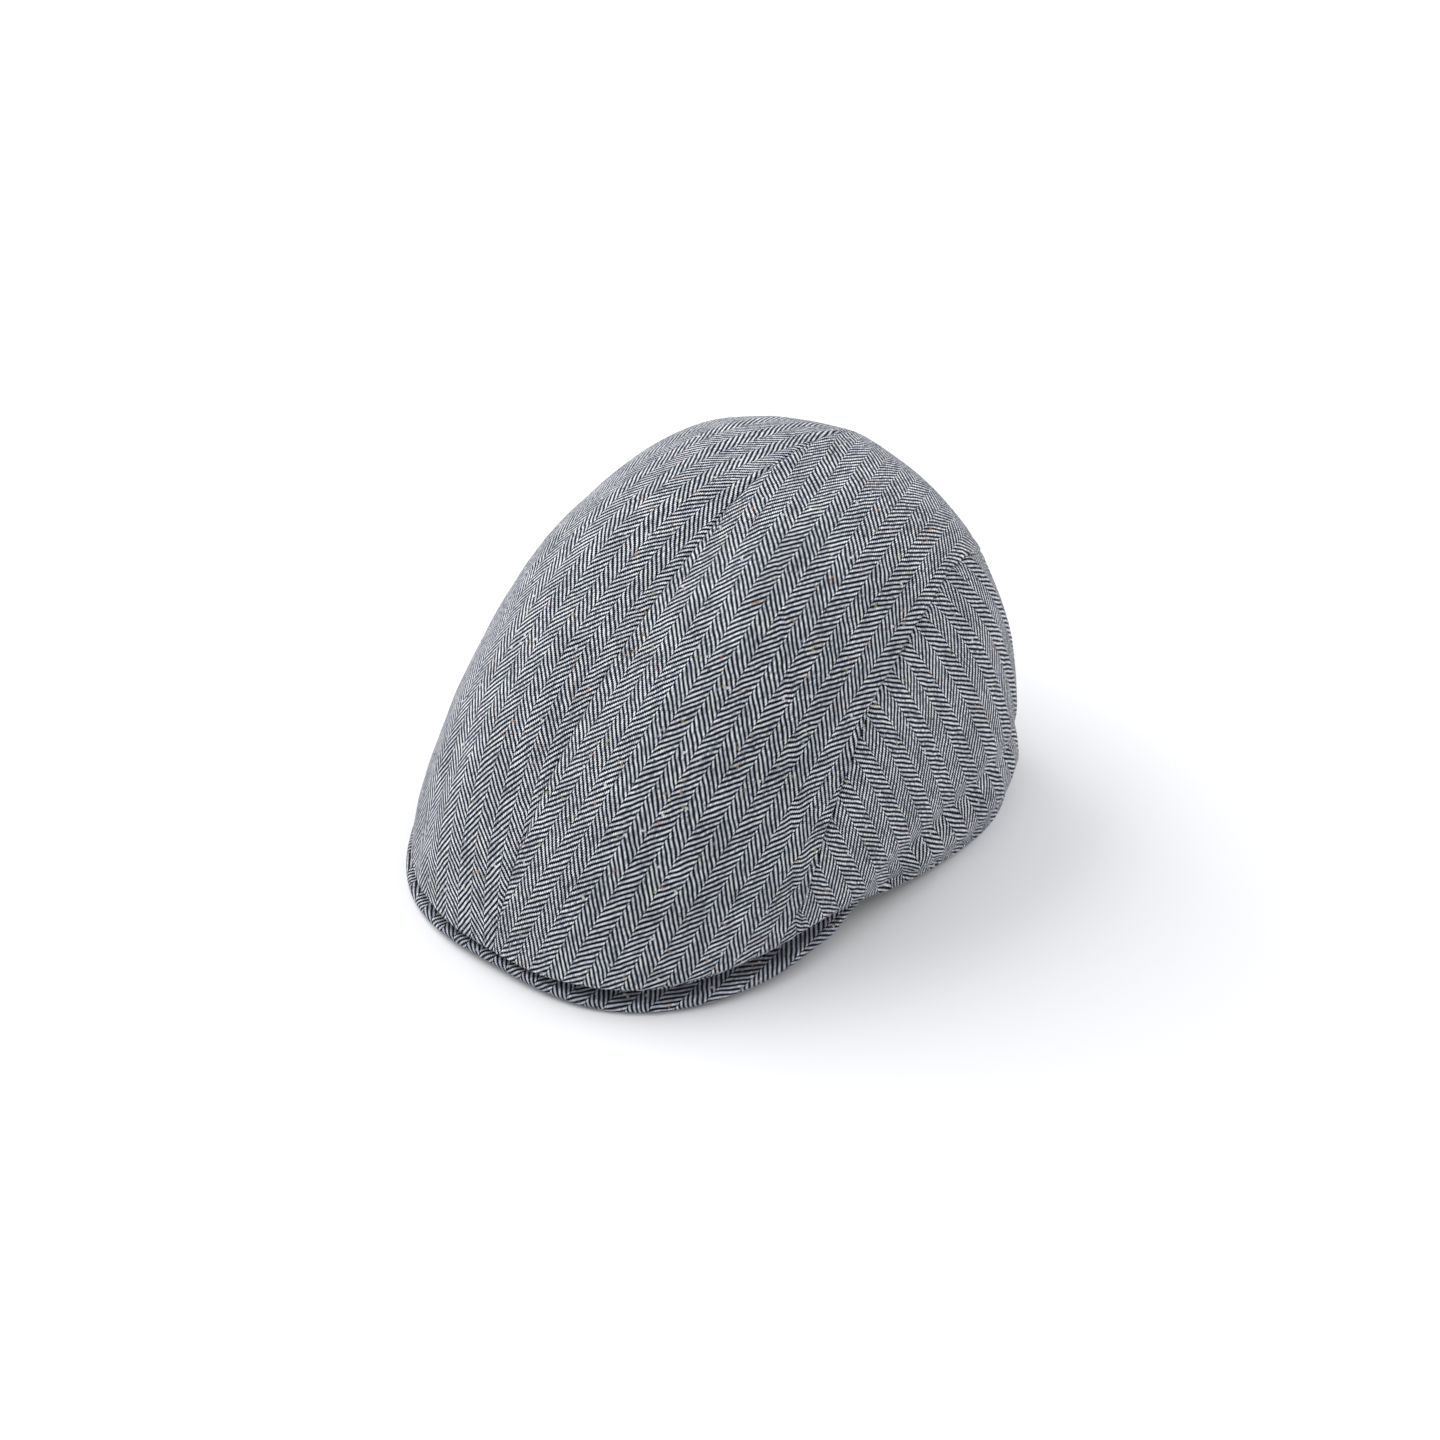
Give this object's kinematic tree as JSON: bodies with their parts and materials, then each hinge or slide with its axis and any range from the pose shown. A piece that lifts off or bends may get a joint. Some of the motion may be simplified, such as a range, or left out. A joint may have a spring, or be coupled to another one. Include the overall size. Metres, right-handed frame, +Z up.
{
  "type": "flat cap",
  "caption": "Soft herringbone tweed flat cap with a full rounded crown of sewn panels and a short stiff peak under the front lip.",
  "frame": {"origin": "centre of the cap's length and width, on the surface that it rests on", "axes": "-Y to the front of the cap, +X to the wearer's left, +Z up"},
  "size_m": [0.188, 0.2368, 0.14],
  "materials": {
    "tweed_crown": "woven wool, herringbone in white and charcoal yarn",
    "tweed_side": "woven wool, herringbone in white and charcoal yarn",
    "tweed_peak": "woven wool over a stiff board"
  },
  "bodies": {
    "root": {"crown_top_left": "tweed_crown", "crown_top_right": "tweed_crown", "crown_side_left": "tweed_side", "crown_side_right": "tweed_side", "peak": "tweed_peak"}
  },
  "joints": []
}
